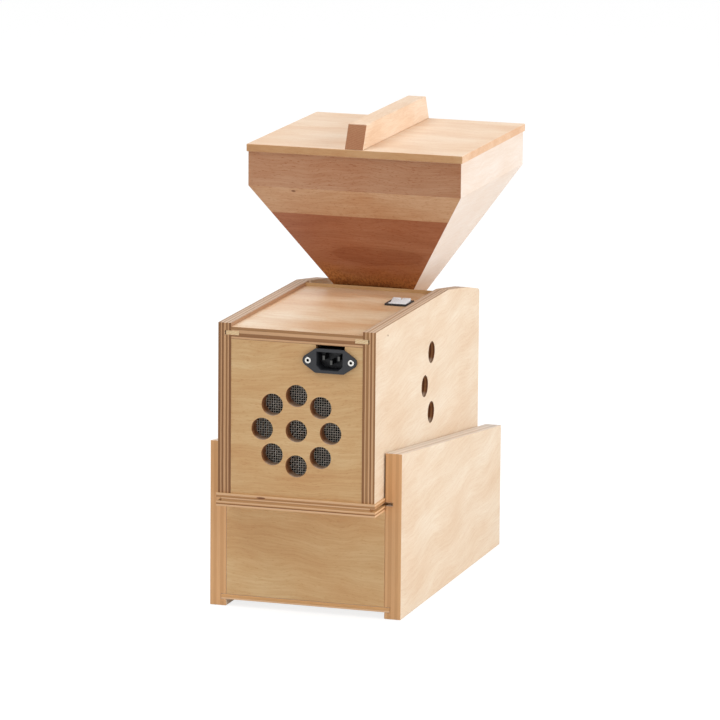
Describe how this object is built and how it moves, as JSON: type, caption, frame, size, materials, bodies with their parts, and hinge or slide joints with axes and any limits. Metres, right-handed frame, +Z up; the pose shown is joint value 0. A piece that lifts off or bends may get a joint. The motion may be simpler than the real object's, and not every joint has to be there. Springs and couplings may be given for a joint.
{
  "type": "electric grain mill",
  "caption": "Electric stone grain mill: plywood housing on a base with a flour drawer, lift-off beech hopper with lid, rocker switch and a knob that sets the gap of the stones.",
  "frame": {"origin": "on the table, below the middle of the whole mill with its hopper and lid on", "axes": "+Z up, -Y towards the front with knob and drawer, +Y towards the rear with the mains inlet, +X to the right of someone facing the front"},
  "size_m": [0.206, 0.3708, 0.4229],
  "materials": {
    "plywood": "oiled multiplex plywood",
    "beech": "oiled solid beech",
    "pale_wood": "bare pale wood",
    "steel": "plated steel",
    "bearing_steel": "ground steel",
    "painted_steel": "grey enamel",
    "iron": "stacked iron sheet",
    "copper": "varnished copper wire",
    "brass": "turned brass",
    "cast_aluminium": "as cast",
    "stone": "rough matte bonded stone",
    "black_plastic": "black moulded plastic",
    "grey_plastic": "light grey moulded plastic",
    "wire_insulation": "dark grey insulation"
  },
  "bodies": {
    "housing": {"left_side_panel": "plywood", "right_side_panel": "plywood", "rear_panel": "plywood", "front_panel": "plywood", "switch_panel": "plywood", "bulkhead": "plywood", "hopper_board_sloped": "plywood", "hopper_shelf": "plywood", "panel_splines": "pale_wood", "panel_brads": "steel", "deck": "plywood", "base_left_side": "plywood", "base_right_side": "plywood", "base_rear_panel": "plywood", "base_bottom_board": "plywood", "deck_splines": "pale_wood", "deck_screws": "steel", "vent_screen": "steel", "inlet_socket": "black_plastic", "inlet_pins": "steel", "inlet_rivets": "steel", "switch_housing": "black_plastic", "run_capacitor": "grey_plastic", "capacitor_clip": "steel", "wiring": "wire_insulation", "motor_shell": "painted_steel", "stator_core": "iron", "stator_windings": "copper", "motor_rear_shield": "cast_aluminium", "motor_front_shield": "cast_aluminium", "flange_bolts": "steel", "motor_bearings": "bearing_steel", "fan_cowl": "painted_steel", "grinding_chamber": "cast_aluminium", "feed_chute": "steel", "knob_bush": "brass"},
    "rotor": {"motor_shaft": "bearing_steel", "rotor_core": "iron", "cooling_fan": "black_plastic", "runner_holder": "cast_aluminium", "runner_stone": "stone", "feed_auger": "steel"},
    "stone_carrier": {"fixed_stone": "stone", "stone_carrier": "cast_aluminium", "adjusting_spindle": "bearing_steel"},
    "knob": {"adjusting_knob": "beech"},
    "rocker": {"switch_rocker": "grey_plastic"},
    "drawer": {"drawer_front": "plywood", "drawer_sides": "beech", "drawer_back": "beech", "drawer_bottom": "plywood", "drawer_knob": "beech"},
    "hopper": {"hopper_rear_board": "beech", "hopper_front_board": "beech", "hopper_left_board": "beech", "hopper_right_board": "beech"},
    "lid": {"lid_board": "beech", "lid_grip": "beech", "lid_battens": "beech"}
  },
  "joints": [
    {"name": "rotor_spin", "type": "hinge", "parent": "housing", "child": "rotor", "pos_m": [0, 0.0266, 0.166], "axis": [0, 1, 0], "continuous": true},
    {"name": "stone_feed", "type": "slide", "parent": "housing", "child": "stone_carrier", "axis": [0, -1, 0], "range_m": [0, 0.0015]},
    {"name": "knob_turn", "type": "hinge", "parent": "housing", "child": "knob", "pos_m": [0, -0.1524, 0.166], "axis": [0, -1, 0], "range_deg": [0, 270]},
    {"name": "rocker_tilt", "type": "hinge", "parent": "housing", "child": "rocker", "pos_m": [-0.0467, 0.0266, 0.2617], "axis": [1, 0, 0], "range_deg": [0, 16]},
    {"name": "drawer_slide", "type": "slide", "parent": "housing", "child": "drawer", "axis": [0, -1, 0], "range_m": [0, 0.24]},
    {"name": "hopper_lift", "type": "slide", "parent": "housing", "child": "hopper", "axis": [0, 0, 1], "range_m": [0, 0.12]},
    {"name": "lid_lift", "type": "slide", "parent": "hopper", "child": "lid", "axis": [0, 0, 1], "range_m": [0, 0.08]}
  ],
  "couplings": [
    {"joint": "knob_turn", "follows": "stone_feed", "rad_per_m": 3141.6}
  ]
}
